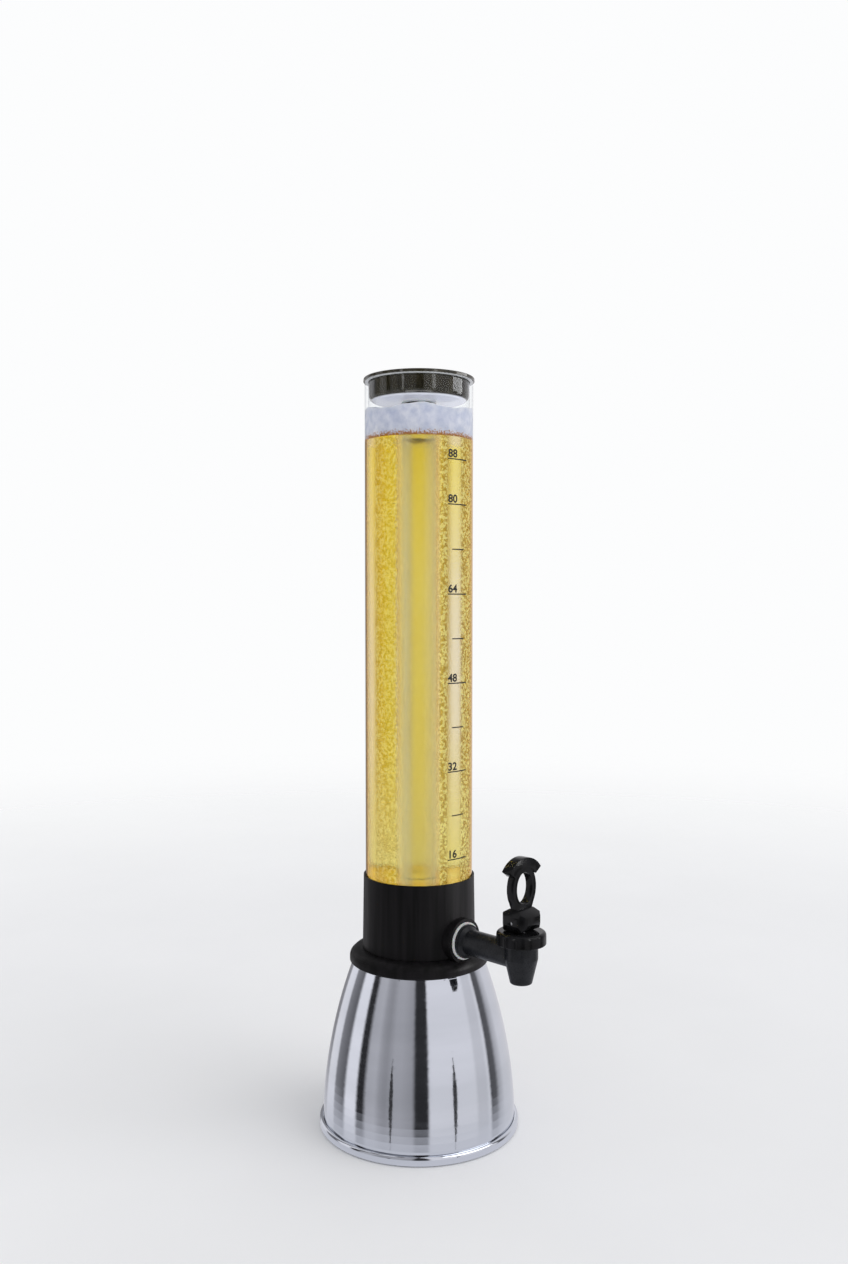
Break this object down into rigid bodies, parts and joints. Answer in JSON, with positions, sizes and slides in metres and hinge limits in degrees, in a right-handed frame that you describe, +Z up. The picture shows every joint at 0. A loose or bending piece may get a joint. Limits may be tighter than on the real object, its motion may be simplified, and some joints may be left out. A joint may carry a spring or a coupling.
{
  "type": "beer tower dispenser",
  "caption": "Table-top drink tower: clear reservoir tube with hanging ice tube and lift-off lid, black collar with self-closing lever tap, weighted bell base.",
  "frame": {"origin": "on the reservoir tube's axis, at the level of the table", "axes": "+Z up along the tube; the tap points to -Y; +X is to the right when one faces the tower from behind the tap's side, looking along +Y"},
  "size_m": [0.1786, 0.2289, 0.662],
  "materials": {
    "chrome_shell": "polished",
    "black_moulded": "satin, fine upright streaks",
    "black_gloss": "moulded gloss",
    "clear_tube": "clear acrylic",
    "smoke_lid": "smoky gloss",
    "white_silicone": "soft satin",
    "black_rubber": "matte",
    "zinc_steel": "zinc plated",
    "ballast_iron": "as cast",
    "insert_brass": "turned"
  },
  "bodies": {
    "tower": {"foot_ring": "black_rubber", "base_ring": "chrome_shell", "base_plate": "zinc_steel", "ballast": "ballast_iron", "bell": "chrome_shell", "tie_rod": "zinc_steel", "tie_washer": "zinc_steel", "tie_nut": "zinc_steel", "tie_insert": "insert_brass", "collar": "black_moulded", "tube_gasket": "white_silicone", "tube": "clear_tube", "tap_gasket": "white_silicone", "tap_body": "black_gloss", "inner_washer": "white_silicone", "tap_nut": "black_gloss", "bonnet": "black_gloss"},
    "lid": {"lid": "smoke_lid"},
    "ice_tube": {"ice_tube": "clear_tube", "ice_tube_seal": "white_silicone"},
    "valve": {"stem": "zinc_steel", "seat_cup": "white_silicone", "spring": "zinc_steel"},
    "lever": {"lever": "black_gloss", "lever_pin": "zinc_steel"}
  },
  "joints": [
    {"name": "lid_lift", "type": "slide", "parent": "tower", "child": "lid", "axis": [0, 0, 1], "range_m": [0, 0.48]},
    {"name": "ice_tube_release", "type": "slide", "parent": "lid", "child": "ice_tube", "axis": [0, 0, -1], "range_m": [0, 0.02]},
    {"name": "valve_lift", "type": "slide", "parent": "tower", "child": "valve", "axis": [0, 0, 1], "range_m": [0, 0.0042], "deforming": ["spring", "seat_cup"]},
    {"name": "lever_tilt", "type": "hinge", "parent": "valve", "child": "lever", "pos_m": [0, -0.119, 0.206], "axis": [1, 0, 0], "range_deg": [0, 60], "stiffness_Nm_per_rad": 0.15, "springref_deg": -28.65}
  ],
  "couplings": [
    {"joint": "valve_lift", "follows": "lever_tilt", "m_per_rad": 0.004}
  ]
}
